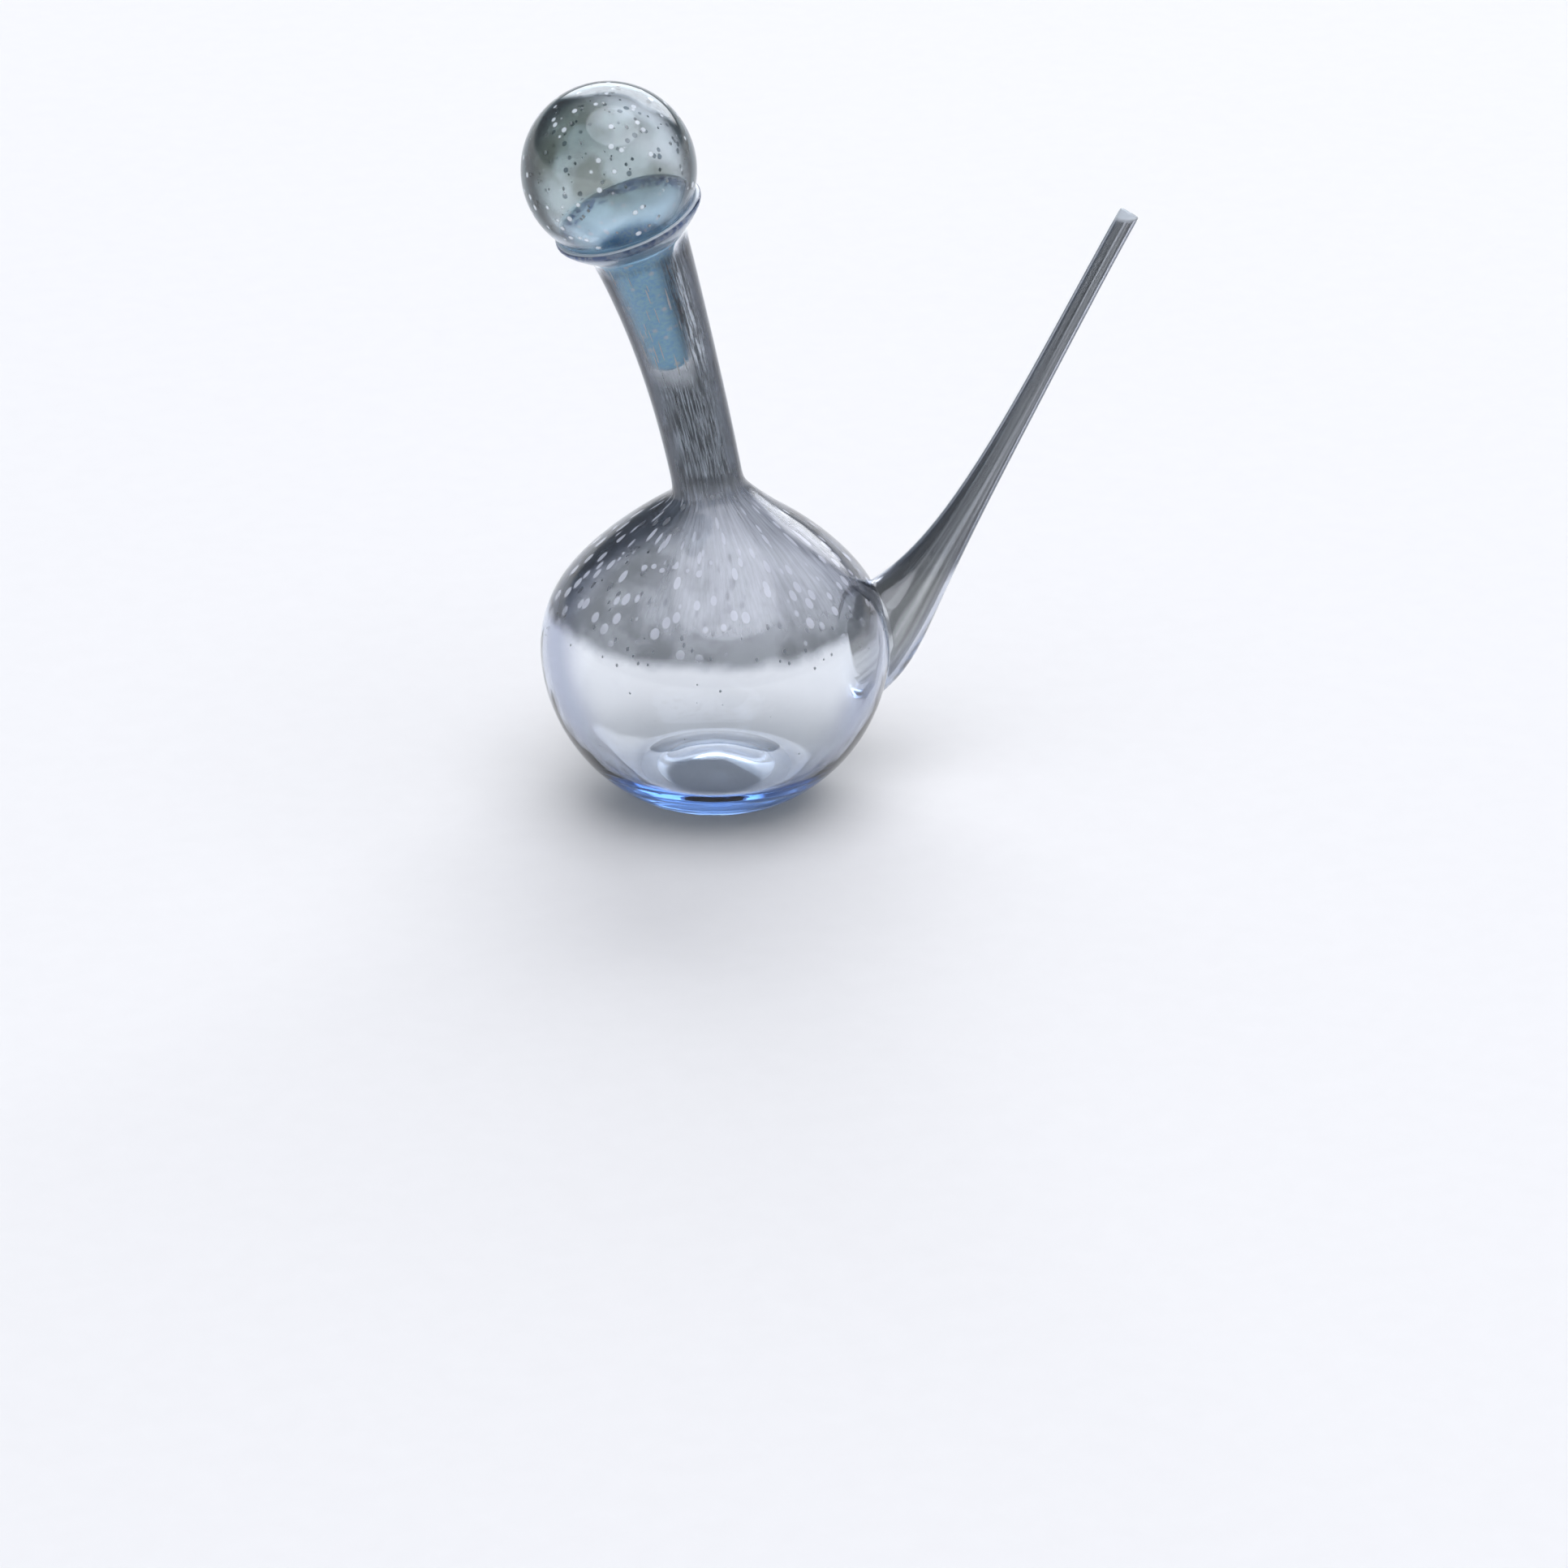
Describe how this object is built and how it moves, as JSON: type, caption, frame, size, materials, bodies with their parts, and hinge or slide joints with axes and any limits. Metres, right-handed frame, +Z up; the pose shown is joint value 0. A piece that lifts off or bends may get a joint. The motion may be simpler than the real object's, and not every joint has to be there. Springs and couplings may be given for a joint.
{
  "type": "glass porron",
  "caption": "Blown-glass wine porron: a round body on a pushed-in foot, a leaning neck with a bowl-shaped mouth, a long drawn spout and a hollow ball stopper that lifts out.",
  "frame": {"origin": "on the table, midway between the ball's left side and the spout's tip; the foot's centre is 72.1 mm to the left of it on the X axis", "axes": "+Z up, +X towards the spout's tip, the neck leans towards -X; the XZ plane is the mirror plane"},
  "size_m": [0.3502, 0.189, 0.4037],
  "materials": {
    "vessel_glass": "clear glass with a pale blue cast and many small bubbles, fire-polished",
    "spout_glass": "clear glass with a pale blue cast and fine streaks along its length, fire-polished",
    "stopper_glass": "pale blue bubbled glass, polished on the ball and ground to a satin on the shank"
  },
  "bodies": {
    "vessel": {"vessel": "vessel_glass", "spout": "spout_glass"},
    "stopper": {"stopper": "stopper_glass"}
  },
  "joints": [
    {"name": "stopper_lift", "type": "slide", "parent": "vessel", "child": "stopper", "axis": [-0.3007, 0, 0.9537], "range_m": [0, 0.11]}
  ]
}
